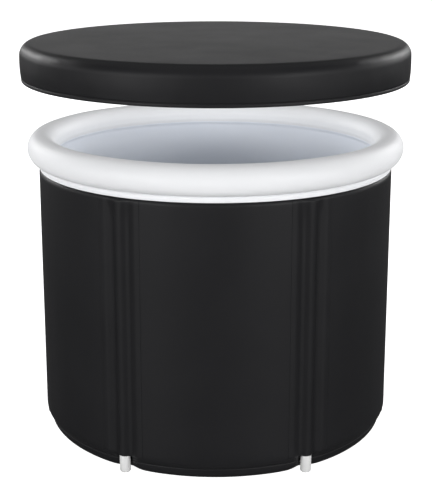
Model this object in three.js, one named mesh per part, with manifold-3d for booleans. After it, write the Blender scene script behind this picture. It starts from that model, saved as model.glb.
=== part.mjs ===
// Portable cold plunge tub: a foam-lined fabric tub on six rods, its inflatable ring and its padded lid.
import * as THREE from 'three';
import { mergeVertices } from 'three/addons/utils/BufferGeometryUtils.js';
import Module from 'manifold-3d';

const wasm = await Module();
wasm.setup();

// Driving dimensions, in millimetres. The floor is z = 0 and the front of the tub faces -Y.
const clearance = 0.3;
const cutterOvershoot = 1;
const mergeDistance = 1e-4;

// Wall and base
const bodyRadius = 425;
const wallTop = 646;
const baseSeam = 30;
const edgeInset = 40;
const edgeRise = 70;
const skinThickness = 2;
const linerThickness = 2;
const foamBehindRod = 6.7;
const channelLipRound = 24;

// Support rods, their sleeves, feet and top plugs
const rodCount = 6;
const rodRadius = 11;
const rodWall = 2;
const sleeveThickness = 1.2;
const sleeveTopGap = 8;
const footHeight = 42;
const footFloor = 4;
const footRound = 5;
const plugHead = 3;
const plugLength = 12;

// Inflatable ring and the band that joins it to the wall
const ringInset = 9.5;
const ringTube = 35;
const ringWall = 2;
const lipHeight = 12.7;
const lipThickness = 1.8;

// Inflation valve on the inner side of the ring
const valveFlangeRadius = 14;
const valveFlangeHeight = 3;
const valveNeckRadius = 9;
const valveNeckLength = 8;
const valveBoreRadius = 6;
const valveCollarRadius = 8;
const valveCollarHeight = 3;
const valveBarWidth = 4;
const valveBarThickness = 2;
const valveStemRadius = 1.2;
const valveFlapThickness = 1.2;
const valveCapThickness = 2.2;
const valvePlugRadius = 5.2;
const valvePlugLength = 2.6;
const valveHingeRadius = 1.2;
const valveHingeLength = 8;
const valveHingeDrop = 10.5;

// Drain tap, low on the panel opposite the front
const drainHeight = 105;
const drainStemRadius = 13;
const drainBoreRadius = 7.5;
const drainFlangeRadius = 20;
const drainFlangeThickness = 4;
const gasketThickness = 2;
const nutThickness = 8;
const nutAcrossCorners = 44;
const nutSides = 6;
const stemPastNut = 3;
const tapNeckLength = 6;
const tapHousingRadius = 16;
const tapHousingLength = 36;
const tapTurretRadius = 14;
const tapTurretTop = 21;
const hoseTailRadius = 10;
const hoseTailLength = 30;
const hoseBarbHeight = 1.4;
const hoseBarbCount = 3;
const hoseBarbOffset = 0.75;
const spoolRadius = 10;
const spoolDrop = 11;
const spoolStemRadius = 5;
const spoolStemLength = 9;
const handleHubRadius = 11;
const handleCrown = 3;
const handleLength = 42;
const handleRootWidth = 15;
const handleTipWidth = 11;
const handleThickness = 6;
const handleScrewRadius = 2;
const handleScrewHead = 4;
const handleScrewHeadHeight = 2.4;
const handleScrewLength = 9;

// Padded lid, shown lifted off the ring
const lidLift = 125;
const lidHeight = 92;
const lidPanel = 30;
const lidCrown = 4;
const lidEdgeRound = 28;
const lidTaper = 2;
const lidSlip = 1.7;
const coverThickness = 1.2;
const liningThickness = 1.2;
const skirtFoam = 3;
const bindingHeight = 8;

// Facet counts
const facetsPerPanel = 8;
const panelSteps = 7;
const lipSteps = 3;
const channelSteps = 6;
const ringTubeFacets = 12;
const rodFacets = 12;
const tapFacets = 16;
const edgeSteps = 2;
const roundSteps = 4;
const crownSteps = 2;

// Sizes that follow from the driving dimensions
const roundFacets = rodCount * facetsPerPanel;
const sector = (2 * Math.PI) / rodCount;
const footRadius = rodRadius + clearance + sleeveThickness;
const rodCircle = bodyRadius - footRadius;
const channelRadius = footRadius + clearance;
const foamInset = skinThickness + clearance;
const foamOuterRadius = bodyRadius - foamInset;
const foamInnerRadius = rodCircle - channelRadius - foamInset - foamBehindRod;
const linerOuterRadius = foamInnerRadius - clearance;
const linerInnerRadius = linerOuterRadius - linerThickness;
const wallBottom = baseSeam + clearance;
const foamTop = wallTop + lipHeight;
const ringCircle = bodyRadius - ringInset;
const ringHeight = foamTop + clearance + ringTube;
const ringTop = ringHeight + ringTube;
const ringOuterRadius = ringCircle + ringTube;
const ringInnerRadius = ringCircle - ringTube;

const lipCircle = bodyRadius - channelLipRound;
const lipReach = channelLipRound + channelRadius;
const lipAngle = Math.acos((lipCircle ** 2 + rodCircle ** 2 - lipReach ** 2) / (2 * lipCircle * rodCircle));
const sleeveTop = wallTop - sleeveTopGap;
const rodTop = sleeveTop - sleeveThickness - clearance - plugHead - clearance;

const valveFace = -ringInnerRadius;
const valveFlangeTop = valveFace + valveFlangeHeight;
const valveCollarTop = valveFlangeTop + valveCollarHeight;

const drainPanel = Math.floor(rodCount / 2);
const drainTurn = drainPanel * sector - Math.PI;
const wallFace = bodyRadius * Math.cos((sector / 2 - lipAngle) / panelSteps);
const linerFace = linerInnerRadius - drainFlangeRadius * Math.tan(Math.PI / roundFacets);
const nutFace = linerFace - clearance - gasketThickness - clearance;
const drainStemEnd = nutFace - nutThickness - stemPastNut;
const flangeBack = wallFace + clearance + gasketThickness + clearance;
const flangeFront = flangeBack + drainFlangeThickness;
const neckEnd = flangeFront + tapNeckLength;
const housingEnd = neckEnd + tapHousingLength;
const tailEnd = housingEnd + hoseTailLength;
const spoolPlace = (neckEnd + housingEnd) / 2;
const handleBottom = tapTurretTop + clearance;
const handleTop = handleBottom + spoolStemLength + handleCrown;
const screwEnd = handleTop + clearance - handleScrewLength;

const discInset = coverThickness + clearance;
const lidHemInside = ringOuterRadius + lidSlip;
const lidHemRadius = lidHemInside + liningThickness + clearance + skirtFoam + discInset;
const lidRadius = lidHemRadius + lidTaper;
const skirtBottom = bindingHeight + clearance;
const lidRoundStart = lidHeight - lidCrown - lidEdgeRound;
const lidCeiling = lidHeight - lidPanel;
const discBottom = lidCeiling + liningThickness + clearance;

const finishes = {
  blackFabric: { color: 0x1d1d1f, roughness: 0.55, metalness: 0 },
  whiteVinyl: { color: 0xeeeff1, roughness: 0.4, metalness: 0 },
  greyLiner: { color: 0xb9c2cc, roughness: 0.45, metalness: 0 },
  foam: { color: 0xd9d9d4, roughness: 0.9, metalness: 0 },
  whitePlastic: { color: 0xe6e6e6, roughness: 0.35, metalness: 0 },
  blackPlastic: { color: 0x202022, roughness: 0.4, metalness: 0 },
  rubber: { color: 0x2a2a2a, roughness: 0.8, metalness: 0 },
  steel: { color: 0xb8babd, roughness: 0.3, metalness: 1 },
};

// Geometry helpers

// Keeps the positions alone, joins the shared corners and drops triangles without area.
function closedBody(geometry) {
  const bare = new THREE.BufferGeometry();
  bare.setAttribute('position', geometry.getAttribute('position').clone());
  if (geometry.index) bare.setIndex(geometry.index.clone());
  const merged = mergeVertices(bare, mergeDistance);
  const corners = merged.index.array;
  const kept = [];
  for (let i = 0; i < corners.length; i += 3) {
    const [a, b, c] = corners.slice(i, i + 3);
    if (a !== b && b !== c && c !== a) kept.push(a, b, c);
  }
  merged.setIndex(kept);
  return merged;
}

function toSolid(geometry) {
  const body = closedBody(geometry);
  const vertProperties = new Float32Array(body.getAttribute('position').array);
  const triVerts = new Uint32Array(body.index.array);
  return new wasm.Manifold(new wasm.Mesh({ numProp: 3, vertProperties, triVerts }));
}

function toGeometry(solid) {
  const mesh = solid.getMesh();
  const geometry = new THREE.BufferGeometry();
  geometry.setAttribute('position', new THREE.Float32BufferAttribute(mesh.vertProperties, 3));
  geometry.setIndex(Array.from(mesh.triVerts));
  return geometry;
}

function cut(body, ...tools) {
  return toGeometry(tools.reduce((solid, tool) => solid.subtract(toSolid(tool)), toSolid(body)));
}

function join(body, ...others) {
  return toGeometry(others.reduce((solid, other) => solid.add(toSolid(other)), toSolid(body)));
}

function point(x, y) {
  return new THREE.Vector2(x, y);
}

// Arc of a circle in the profile or plan, with its end point left to the next stretch.
function arc(centre, radius, from, to, steps) {
  const clockwise = to < from;
  const curve = new THREE.EllipseCurve(centre.x, centre.y, radius, radius, from, to, clockwise);
  return curve.getPoints(steps).slice(0, -1);
}

// Turns a profile of (radius, height) about the Z axis.
function revolve(profile, facets) {
  return new THREE.LatheGeometry(profile, facets).rotateX(Math.PI / 2);
}

// Turns a closed profile of (radius, height) about the Z axis.
function revolveRing(profile, facets) {
  return revolve([...profile, profile[0].clone()], facets);
}

// Turns a profile of (radius, distance) about the Y axis.
function revolveAlongY(profile, facets) {
  return new THREE.LatheGeometry(profile, facets);
}

function cylinderAlongY(radius, from, to, facets) {
  return new THREE.CylinderGeometry(radius, radius, to - from, facets).translate(0, (from + to) / 2, 0);
}

function cylinderAlongZ(radius, from, to, facets) {
  return cylinderAlongY(radius, from, to, facets).rotateX(Math.PI / 2);
}

function cylinderAlongX(radius, length, facets) {
  return cylinderAlongY(radius, -length / 2, length / 2, facets).rotateZ(Math.PI / 2);
}

// Skins a stack of loops that have the same number of corners.
// The stack either closes on itself or has its first and last loop filled in.
// Four-sided faces are split along the shorter diagonal, so that nested pieces match.
function loft(loops, closesOnItself) {
  const corners = loops[0].length;
  const places = loops.flat();
  const positions = places.flatMap((corner) => [corner.x, corner.y, corner.z]);
  const faces = [];
  const strips = closesOnItself ? loops.length : loops.length - 1;
  for (let level = 0; level < strips; level += 1) {
    const lower = level * corners;
    const upper = ((level + 1) % loops.length) * corners;
    for (let i = 0; i < corners; i += 1) {
      const next = (i + 1) % corners;
      const [a, b, c, d] = [lower + i, lower + next, upper + next, upper + i];
      const shortest = places[a].distanceTo(places[c]) < places[b].distanceTo(places[d]);
      faces.push(...(shortest ? [a, b, c, a, c, d] : [a, b, d, b, c, d]));
    }
  }
  if (!closesOnItself) {
    const last = (loops.length - 1) * corners;
    for (const [a, b, c] of THREE.ShapeUtils.triangulateShape(loops[0].map((p) => point(p.x, p.y)), [])) {
      faces.push(a, c, b);
    }
    for (const [a, b, c] of THREE.ShapeUtils.triangulateShape(loops.at(-1).map((p) => point(p.x, p.y)), [])) {
      faces.push(last + a, last + b, last + c);
    }
  }
  const geometry = new THREE.BufferGeometry();
  geometry.setAttribute('position', new THREE.Float32BufferAttribute(positions, 3));
  geometry.setIndex(faces);
  return geometry;
}

function addPiece(group, name, geometry, finish) {
  const material = new THREE.MeshStandardMaterial({ ...finishes[finish], flatShading: true });
  const mesh = new THREE.Mesh(closedBody(geometry), material);
  mesh.name = name;
  group.add(mesh);
}

// Plan of the wall

// A place on the plan, at an angle that runs from the front towards +X.
function planPoint(radius, angle) {
  return point(radius * Math.sin(angle), -radius * Math.cos(angle));
}

// The curves of the plan measure their angles from +X.
function curveAngle(angle) {
  return angle - Math.PI / 2;
}

function rodAngle(index) {
  return (index + 0.5) * sector;
}

// Channel round a rod: the lip of the panel before it, the trough and the lip of the panel after it.
function channelOutline(angle, inset) {
  const rod = planPoint(rodCircle, angle);
  const before = planPoint(lipCircle, angle - lipAngle);
  const after = planPoint(lipCircle, angle + lipAngle);
  const turn = before.angleTo(rod.clone().sub(before));
  const panelEnd = curveAngle(angle - lipAngle);
  const panelStart = curveAngle(angle + lipAngle);
  const lipRadius = channelLipRound - inset;
  const troughRadius = channelRadius + inset;
  return {
    entryLip: arc(before, lipRadius, panelEnd, panelEnd + turn, lipSteps),
    trough: arc(rod, troughRadius, panelEnd + turn + Math.PI, panelStart - turn + Math.PI, channelSteps),
    exitLip: arc(after, lipRadius, panelStart - turn, panelStart, lipSteps),
  };
}

// Face of the panel between a rod and the next one.
function panelOutline(index, inset) {
  const from = curveAngle(rodAngle(index) + lipAngle);
  const to = curveAngle(rodAngle(index + 1) - lipAngle);
  return arc(point(0, 0), bodyRadius - inset, from, to, panelSteps);
}

function wallOutline(inset) {
  const outline = [];
  for (let index = 0; index < rodCount; index += 1) {
    const { entryLip, trough, exitLip } = channelOutline(rodAngle(index), inset);
    outline.push(...entryLip, ...trough, ...exitLip, ...panelOutline(index, inset));
  }
  return outline;
}

// Radius of the rounded lower edge at a height, for the outer face or for a face inside it.
function edgeRadius(height, inset) {
  if (height >= edgeRise) return bodyRadius - inset;
  const drop = (edgeRise - height) / (edgeRise - inset);
  return bodyRadius - edgeInset + (edgeInset - inset) * Math.sqrt(Math.max(0, 1 - drop ** 2));
}

// Heights at which the wall is drawn: close together on the rounded edge, and then its top.
function edgeLevels(bottom, top, inset, steps) {
  if (bottom >= edgeRise) return [bottom, top];
  const slope = (height) => Math.asin(Math.min(1, Math.max(0, (edgeRise - height) / (edgeRise - inset))));
  const levels = [];
  for (let step = 0; step <= steps; step += 1) {
    const angle = THREE.MathUtils.lerp(slope(bottom), slope(top), step / steps);
    levels.push(edgeRise - (edgeRise - inset) * Math.sin(angle));
  }
  if (top > edgeRise) levels.push(top);
  return levels;
}

// Lifts a plan outline to a height and draws it in to the rounded edge there.
function loopAt(outline, height, inset) {
  const limit = edgeRadius(height, inset);
  return outline.map((corner) => {
    const drawnIn = corner.clone().clampLength(0, limit);
    return new THREE.Vector3(drawnIn.x, drawnIn.y, height);
  });
}

function wallLoops(bottom, top, inset, steps) {
  const outline = wallOutline(inset);
  return edgeLevels(bottom, top, inset, steps).map((height) => loopAt(outline, height, inset));
}

// Height of the underside of the ring above a place on the wall.
function ringUnderside(radius) {
  return ringHeight - Math.sqrt(Math.max(0, ringTube ** 2 - (radius - ringCircle) ** 2));
}

function ringBody(tubeRadius) {
  const start = -Math.PI / 2;
  const section = arc(point(ringCircle, ringHeight), tubeRadius, start, start + 2 * Math.PI, ringTubeFacets);
  return revolveRing(section, roundFacets);
}

// Wall, base and liner

// Hole for the stem of the drain, through every layer of the wall.
function drainHole() {
  const radius = drainStemRadius + clearance;
  return cylinderAlongY(radius, linerInnerRadius / 2, bodyRadius + skinThickness, tapFacets)
    .translate(0, 0, drainHeight)
    .rotateZ(drainTurn);
}

function outerWall() {
  const outside = wallLoops(wallBottom, wallTop, 0, edgeSteps);
  const inside = wallLoops(wallBottom, wallTop, skinThickness, 1).reverse();
  return cut(loft([...outside, ...inside], true), drainHole());
}

function baseShell() {
  const outside = wallLoops(0, baseSeam, 0, edgeSteps + 1);
  const inside = wallLoops(skinThickness, baseSeam, skinThickness, edgeSteps).reverse();
  return loft([...outside, ...inside], false);
}

// The pad fills the base up to the seam.
function basePad() {
  return loft(wallLoops(foamInset, baseSeam, foamInset, edgeSteps), false);
}

// Panel of insulating foam that reaches from the middle of one channel to the middle of the next.
function wallFoam(index) {
  const first = channelOutline(rodAngle(index), foamInset);
  const second = channelOutline(rodAngle(index + 1), foamInset);
  const half = channelSteps / 2;
  const endAt = (radius, side) => {
    const angle = rodAngle(side > 0 ? index : index + 1);
    return planPoint(radius, angle + side * Math.asin(clearance / 2 / radius));
  };
  const troughFloor = rodCircle - channelRadius - foamInset;
  const innerArc = [];
  for (let step = 1; step < facetsPerPanel; step += 1) {
    innerArc.push(planPoint(foamInnerRadius, rodAngle(index + 1) - (step / facetsPerPanel) * sector));
  }
  const outline = [
    endAt(troughFloor, 1),
    ...first.trough.slice(half + 1),
    ...first.exitLip,
    ...panelOutline(index, foamInset),
    ...second.entryLip,
    ...second.trough.slice(0, half),
    endAt(troughFloor, -1),
    endAt(foamInnerRadius, -1),
    ...innerArc,
    endAt(foamInnerRadius, 1),
  ];
  const levels = edgeLevels(wallBottom, foamTop, foamInset, 1);
  const panel = loft(levels.map((height) => loopAt(outline, height, foamInset)), false);
  return index + 1 === drainPanel ? cut(panel, drainHole()) : panel;
}

function innerLiner() {
  const floorTop = wallBottom + linerThickness;
  const top = ringUnderside(linerOuterRadius) - clearance;
  const profile = [
    point(0, wallBottom),
    point(linerOuterRadius, wallBottom),
    point(linerOuterRadius, top),
    point(linerInnerRadius, top),
    point(linerInnerRadius, floorTop),
    point(0, floorTop),
  ];
  return cut(revolve(profile, roundFacets), drainHole());
}

function addWall(group) {
  addPiece(group, 'base_shell', baseShell(), 'blackFabric');
  addPiece(group, 'base_pad', basePad(), 'foam');
  addPiece(group, 'outer_wall', outerWall(), 'blackFabric');
  for (let index = 0; index < rodCount; index += 1) {
    addPiece(group, `wall_foam_${index + 1}`, wallFoam(index), 'foam');
  }
  addPiece(group, 'inner_liner', innerLiner(), 'greyLiner');
}

// Support rods

function rodFoot() {
  const socket = rodRadius + clearance;
  const profile = [
    point(0, 0),
    ...arc(point(footRadius - footRound, footRound), footRound, -Math.PI / 2, 0, lipSteps),
    point(footRadius, footRound),
    point(footRadius, footHeight),
    point(socket, footHeight),
    point(socket, footFloor),
    point(0, footFloor),
  ];
  return revolve(profile, rodFacets);
}

function supportRod() {
  const bore = rodRadius - rodWall;
  const bottom = footFloor + clearance;
  const profile = [
    point(bore, bottom),
    point(rodRadius, bottom),
    point(rodRadius, rodTop),
    point(bore, rodTop),
  ];
  return revolveRing(profile, rodFacets);
}

function rodTopCap() {
  const plugRadius = rodRadius - rodWall - clearance;
  const headBottom = rodTop + clearance;
  const profile = [
    point(0, rodTop - plugLength),
    point(plugRadius, rodTop - plugLength),
    point(plugRadius, headBottom),
    point(rodRadius, headBottom),
    point(rodRadius, headBottom + plugHead),
    point(0, headBottom + plugHead),
  ];
  return revolve(profile, rodFacets);
}

function rodSleeve() {
  const inside = footRadius - sleeveThickness;
  const bottom = footHeight + clearance;
  const profile = [
    point(0, sleeveTop - sleeveThickness),
    point(inside, sleeveTop - sleeveThickness),
    point(inside, bottom),
    point(footRadius, bottom),
    point(footRadius, sleeveTop),
    point(0, sleeveTop),
  ];
  return revolve(profile, rodFacets);
}

function addRods(group) {
  for (let index = 0; index < rodCount; index += 1) {
    const place = planPoint(rodCircle, rodAngle(index));
    const stand = new THREE.Group();
    stand.position.set(place.x, place.y, 0);
    stand.rotation.z = rodAngle(index);
    addPiece(stand, `rod_foot_${index + 1}`, rodFoot(), 'whitePlastic');
    addPiece(stand, `support_rod_${index + 1}`, supportRod(), 'whitePlastic');
    addPiece(stand, `rod_top_cap_${index + 1}`, rodTopCap(), 'blackPlastic');
    addPiece(stand, `rod_sleeve_${index + 1}`, rodSleeve(), 'blackFabric');
    group.add(stand);
  }
}

// Inflatable ring

function topRing() {
  const valveHole = cylinderAlongY(
    valveNeckRadius + clearance,
    -ringInnerRadius - ringTube,
    -ringInnerRadius + ringTube,
    tapFacets,
  ).translate(0, 0, ringHeight);
  return cut(ringBody(ringTube), ringBody(ringTube - ringWall), valveHole);
}

// The band keeps clear of the flat faces of the foam panels, so it is drawn round their corners.
function ringLip() {
  const inside = (foamOuterRadius + clearance) / Math.cos(Math.PI / roundFacets);
  const outside = inside + lipThickness;
  const bottom = wallTop + clearance;
  const profile = [
    point(inside, bottom),
    point(outside, bottom),
    point(outside, ringUnderside(outside) - clearance),
    point(inside, ringUnderside(inside) - clearance),
  ];
  return revolveRing(profile, roundFacets);
}

// Valve pieces lie along Y, with the ring's inner face at valveFace and the middle of the tub beyond it.
function valveBase() {
  const neckEnd = valveFace - valveNeckLength;
  const seat = ringBody(ringTube + clearance).translate(0, 0, -ringHeight);
  const flange = cut(cylinderAlongY(valveFlangeRadius, neckEnd, valveFlangeTop, tapFacets), seat);
  const neck = cylinderAlongY(valveNeckRadius, neckEnd, valveFlangeTop, tapFacets);
  const collar = cylinderAlongY(valveCollarRadius, valveFace, valveCollarTop, tapFacets);
  const postHeight = valveCollarTop - valveFace;
  const post = new THREE.BoxGeometry(valveHingeLength, postHeight, 2 * valveHingeRadius)
    .translate(0, valveFace + postHeight / 2, -valveHingeDrop);
  const boreStart = neckEnd - cutterOvershoot;
  const bore = cylinderAlongY(valveBoreRadius, boreStart, valveCollarTop + cutterOvershoot, tapFacets);
  const bar = new THREE.BoxGeometry(valveBarWidth, valveBarThickness, valveBoreRadius + valveNeckRadius)
    .translate(0, neckEnd + valveBarThickness / 2, 0);
  const stemHole = cylinderAlongY(valveStemRadius + clearance, boreStart, valveFace, rodFacets);
  return cut(join(cut(join(flange, neck, collar, post), bore), bar), stemHole);
}

// One-way flap: a disc that air lifts off the neck, on a stem with a bulb that holds it to the bar.
function valveFlap() {
  const discTop = valveFace - valveNeckLength - clearance;
  const discRadius = (valveBoreRadius + valveNeckRadius) / 2;
  const bulbBottom = valveFace - valveNeckLength + valveBarThickness + clearance;
  const bulbRadius = 2 * valveStemRadius;
  const profile = [
    point(0, discTop - valveFlapThickness),
    point(discRadius, discTop - valveFlapThickness),
    point(discRadius, discTop),
    point(valveStemRadius, discTop),
    point(valveStemRadius, bulbBottom),
    point(bulbRadius, bulbBottom),
    point(valveStemRadius / 2, bulbBottom + bulbRadius),
    point(0, bulbBottom + bulbRadius),
  ];
  return revolveAlongY(profile, rodFacets);
}

function valveCap() {
  const bottom = valveCollarTop + clearance;
  const top = bottom + valveCapThickness;
  const disc = cylinderAlongY(valveCollarRadius, bottom, top, tapFacets);
  const plug = cylinderAlongY(valvePlugRadius, bottom - valvePlugLength, top, tapFacets);
  const barrel = cylinderAlongX(valveHingeRadius, valveHingeLength, rodFacets)
    .translate(0, bottom + valveHingeRadius, -valveHingeDrop);
  const tabWidth = valveHingeLength / 2;
  const tab = new THREE.BoxGeometry(tabWidth, valveCapThickness, valveHingeDrop)
    .translate(0, (bottom + top) / 2, -valveHingeDrop / 2);
  return join(disc, plug, barrel, tab);
}

function addRing(group) {
  addPiece(group, 'top_ring', topRing(), 'whiteVinyl');
  addPiece(group, 'ring_lip', ringLip(), 'whiteVinyl');
  const valve = new THREE.Group();
  valve.position.z = ringHeight;
  addPiece(valve, 'ring_valve_base', valveBase(), 'whitePlastic');
  addPiece(valve, 'ring_valve_flap', valveFlap(), 'rubber');
  addPiece(valve, 'ring_valve_cap', valveCap(), 'whitePlastic');
  group.add(valve);
}

// Drain tap: its pieces lie along Y, outwards from the liner, and its spool stands along Z.

function drainBody() {
  const barbPitch = hoseTailLength / (hoseBarbCount + 1);
  const barbs = [];
  for (let index = 0; index < hoseBarbCount; index += 1) {
    const start = housingEnd + barbPitch * (index + hoseBarbOffset);
    barbs.push(point(hoseTailRadius, start));
    barbs.push(point(hoseTailRadius + hoseBarbHeight, start));
  }
  const shoulder = tapHousingRadius - drainStemRadius;
  const profile = [
    point(0, drainStemEnd),
    point(drainStemRadius, drainStemEnd),
    point(drainStemRadius, flangeBack),
    point(drainFlangeRadius, flangeBack),
    point(drainFlangeRadius, flangeFront),
    point(drainStemRadius, flangeFront),
    point(drainStemRadius, neckEnd),
    point(tapHousingRadius, neckEnd + shoulder),
    point(tapHousingRadius, housingEnd - shoulder),
    point(drainStemRadius, housingEnd),
    point(hoseTailRadius, housingEnd),
    ...barbs,
    point(hoseTailRadius, tailEnd),
    point(0, tailEnd),
  ];
  const turret = cylinderAlongZ(tapTurretRadius, 0, tapTurretTop, tapFacets).translate(0, spoolPlace, 0);
  const boreStart = drainStemEnd - cutterOvershoot;
  const bore = cylinderAlongY(drainBoreRadius, boreStart, tailEnd + cutterOvershoot, tapFacets);
  const cavityRadius = spoolRadius + clearance;
  const cavityTop = tapTurretTop + cutterOvershoot;
  const cavity = cylinderAlongZ(cavityRadius, -spoolDrop - clearance, cavityTop, tapFacets)
    .translate(0, spoolPlace, 0);
  return cut(join(revolveAlongY(profile, tapFacets), turret), bore, cavity);
}

function drainGasket(from) {
  const inside = drainStemRadius + clearance;
  const profile = [
    point(inside, from),
    point(drainFlangeRadius, from),
    point(drainFlangeRadius, from + gasketThickness),
    point(inside, from + gasketThickness),
    point(inside, from),
  ];
  return revolveAlongY(profile, tapFacets);
}

function drainNut() {
  const back = nutFace - nutThickness;
  const hexagon = cylinderAlongY(nutAcrossCorners / 2, back, nutFace, nutSides);
  const holeRadius = drainStemRadius + clearance;
  const hole = cylinderAlongY(holeRadius, back - cutterOvershoot, nutFace + cutterOvershoot, tapFacets);
  return cut(hexagon, hole);
}

// The port of the spool lies across the bore, so the tap is shut.
function drainSpool() {
  const stemTop = tapTurretTop + spoolStemLength;
  const profile = [
    point(0, -spoolDrop),
    point(spoolRadius, -spoolDrop),
    point(spoolRadius, tapTurretTop),
    point(spoolStemRadius, tapTurretTop),
    point(spoolStemRadius, stemTop),
    point(0, stemTop),
  ];
  const port = cylinderAlongX(drainBoreRadius, 2 * (spoolRadius + cutterOvershoot), tapFacets);
  const screwHoleRadius = handleScrewRadius + clearance;
  const screwHoleTop = stemTop + cutterOvershoot;
  const screwHole = cylinderAlongZ(screwHoleRadius, screwEnd - clearance, screwHoleTop, rodFacets);
  return cut(revolve(profile, tapFacets), port, screwHole);
}

function drainHandle() {
  const hub = cylinderAlongZ(handleHubRadius, handleBottom, handleTop, tapFacets);
  const tipRadius = handleTipWidth / 2;
  const tipCentre = handleLength - tipRadius;
  const outline = new THREE.Shape();
  outline.moveTo(0, -handleRootWidth / 2);
  outline.lineTo(tipCentre, -tipRadius);
  outline.absarc(tipCentre, 0, tipRadius, -Math.PI / 2, Math.PI / 2, false);
  outline.lineTo(0, handleRootWidth / 2);
  outline.closePath();
  const lever = new THREE.ExtrudeGeometry(outline, {
    depth: handleThickness,
    bevelEnabled: false,
    curveSegments: lipSteps,
  }).translate(0, 0, handleTop - handleThickness);
  const socketTop = tapTurretTop + spoolStemLength + clearance;
  const socketBottom = handleBottom - cutterOvershoot;
  const socket = cylinderAlongZ(spoolStemRadius + clearance, socketBottom, socketTop, tapFacets);
  const holeTop = handleTop + cutterOvershoot;
  const screwHole = cylinderAlongZ(handleScrewRadius + clearance, handleBottom, holeTop, rodFacets);
  return cut(join(hub, lever), socket, screwHole);
}

function drainHandleScrew() {
  const headBottom = handleTop + clearance;
  const profile = [
    point(0, screwEnd),
    point(handleScrewRadius, screwEnd),
    point(handleScrewRadius, headBottom),
    point(handleScrewHead, headBottom),
    point(handleScrewHead, headBottom + handleScrewHeadHeight / 2),
    point(handleScrewHead / 2, headBottom + handleScrewHeadHeight),
    point(0, headBottom + handleScrewHeadHeight),
  ];
  return revolve(profile, rodFacets);
}

function addDrain(group) {
  const drain = new THREE.Group();
  drain.position.z = drainHeight;
  drain.rotation.z = drainTurn;
  addPiece(drain, 'drain_body', drainBody(), 'blackPlastic');
  addPiece(drain, 'drain_gasket_outer', drainGasket(wallFace + clearance), 'rubber');
  addPiece(drain, 'drain_gasket_inner', drainGasket(nutFace + clearance), 'rubber');
  addPiece(drain, 'drain_nut', drainNut(), 'blackPlastic');
  const tap = new THREE.Group();
  tap.position.y = spoolPlace;
  addPiece(tap, 'drain_spool', drainSpool(), 'whitePlastic');
  addPiece(tap, 'drain_handle', drainHandle(), 'blackPlastic');
  addPiece(tap, 'drain_handle_screw', drainHandleScrew(), 'steel');
  drain.add(tap);
  group.add(drain);
}

// Lid: its pieces are drawn with the lower edge of the skirt at z = 0.

// Outline of the lid from the foot of the skirt, over the rounded edge and the crown, to the middle.
function lidOutline(inset) {
  const roundCentre = point(lidRadius - lidEdgeRound, lidRoundStart);
  const crown = [];
  for (let step = 0; step <= crownSteps; step += 1) {
    const share = 1 - step / crownSteps;
    crown.push(point(roundCentre.x * share, lidHeight - inset - lidCrown * share ** 2));
  }
  return [
    point(lidHemRadius - inset, skirtBottom),
    ...arc(roundCentre, lidEdgeRound - inset, 0, Math.PI / 2, roundSteps),
    ...crown,
  ];
}

// Splits an outline at a height, in the stretch that crosses it.
function splitOutline(outline, height) {
  const next = outline.findIndex((corner) => corner.y > height);
  const below = outline[next - 1];
  const share = (height - below.y) / (outline[next].y - below.y);
  const crossing = below.clone().lerp(outline[next], share);
  return {
    lower: [...outline.slice(0, next), crossing],
    upper: [crossing, ...outline.slice(next)],
  };
}

function lidCover() {
  return revolve([...lidOutline(coverThickness).reverse(), ...lidOutline(0)], roundFacets);
}

function lidFoamDisc() {
  const { upper } = splitOutline(lidOutline(discInset), discBottom);
  return revolve([point(0, discBottom), ...upper], roundFacets);
}

function lidFoamBand() {
  const top = discBottom - clearance;
  const outside = splitOutline(lidOutline(discInset), top).lower;
  const inside = splitOutline(lidOutline(discInset + skirtFoam), top).lower.reverse();
  return revolveRing([...outside, ...inside], roundFacets);
}

function lidLining() {
  const liningInset = discInset + skirtFoam + clearance;
  const liningTop = lidCeiling + liningThickness;
  const inside = splitOutline(lidOutline(liningInset + liningThickness), lidCeiling).lower.reverse();
  const outside = splitOutline(lidOutline(liningInset), liningTop).lower;
  return revolve([point(0, lidCeiling), ...inside, ...outside, point(0, liningTop)], roundFacets);
}

function lidBinding() {
  const radius = (lidHemRadius - lidHemInside) / 2;
  const profile = [
    ...arc(point(lidHemInside + radius, radius), radius, -Math.PI, 0, roundSteps),
    point(lidHemRadius, radius),
    point(lidHemRadius, bindingHeight),
    point(lidHemInside, bindingHeight),
  ];
  return revolveRing(profile, roundFacets);
}

function addLid(group) {
  const lid = new THREE.Group();
  lid.position.z = ringTop + lidLift;
  addPiece(lid, 'lid_cover', lidCover(), 'blackFabric');
  addPiece(lid, 'lid_foam_disc', lidFoamDisc(), 'foam');
  addPiece(lid, 'lid_foam_band', lidFoamBand(), 'foam');
  addPiece(lid, 'lid_lining', lidLining(), 'blackFabric');
  addPiece(lid, 'lid_binding', lidBinding(), 'blackFabric');
  group.add(lid);
}

const tub = new THREE.Group();
addWall(tub);
addRods(tub);
addRing(tub);
addDrain(tub);
addLid(tub);

export default tub;
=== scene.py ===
# A portable cold plunge tub with its lid lifted off, dressed for a studio picture.
import math

import bpy
import numpy as np
from mathutils import Matrix, Vector, noise


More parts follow.
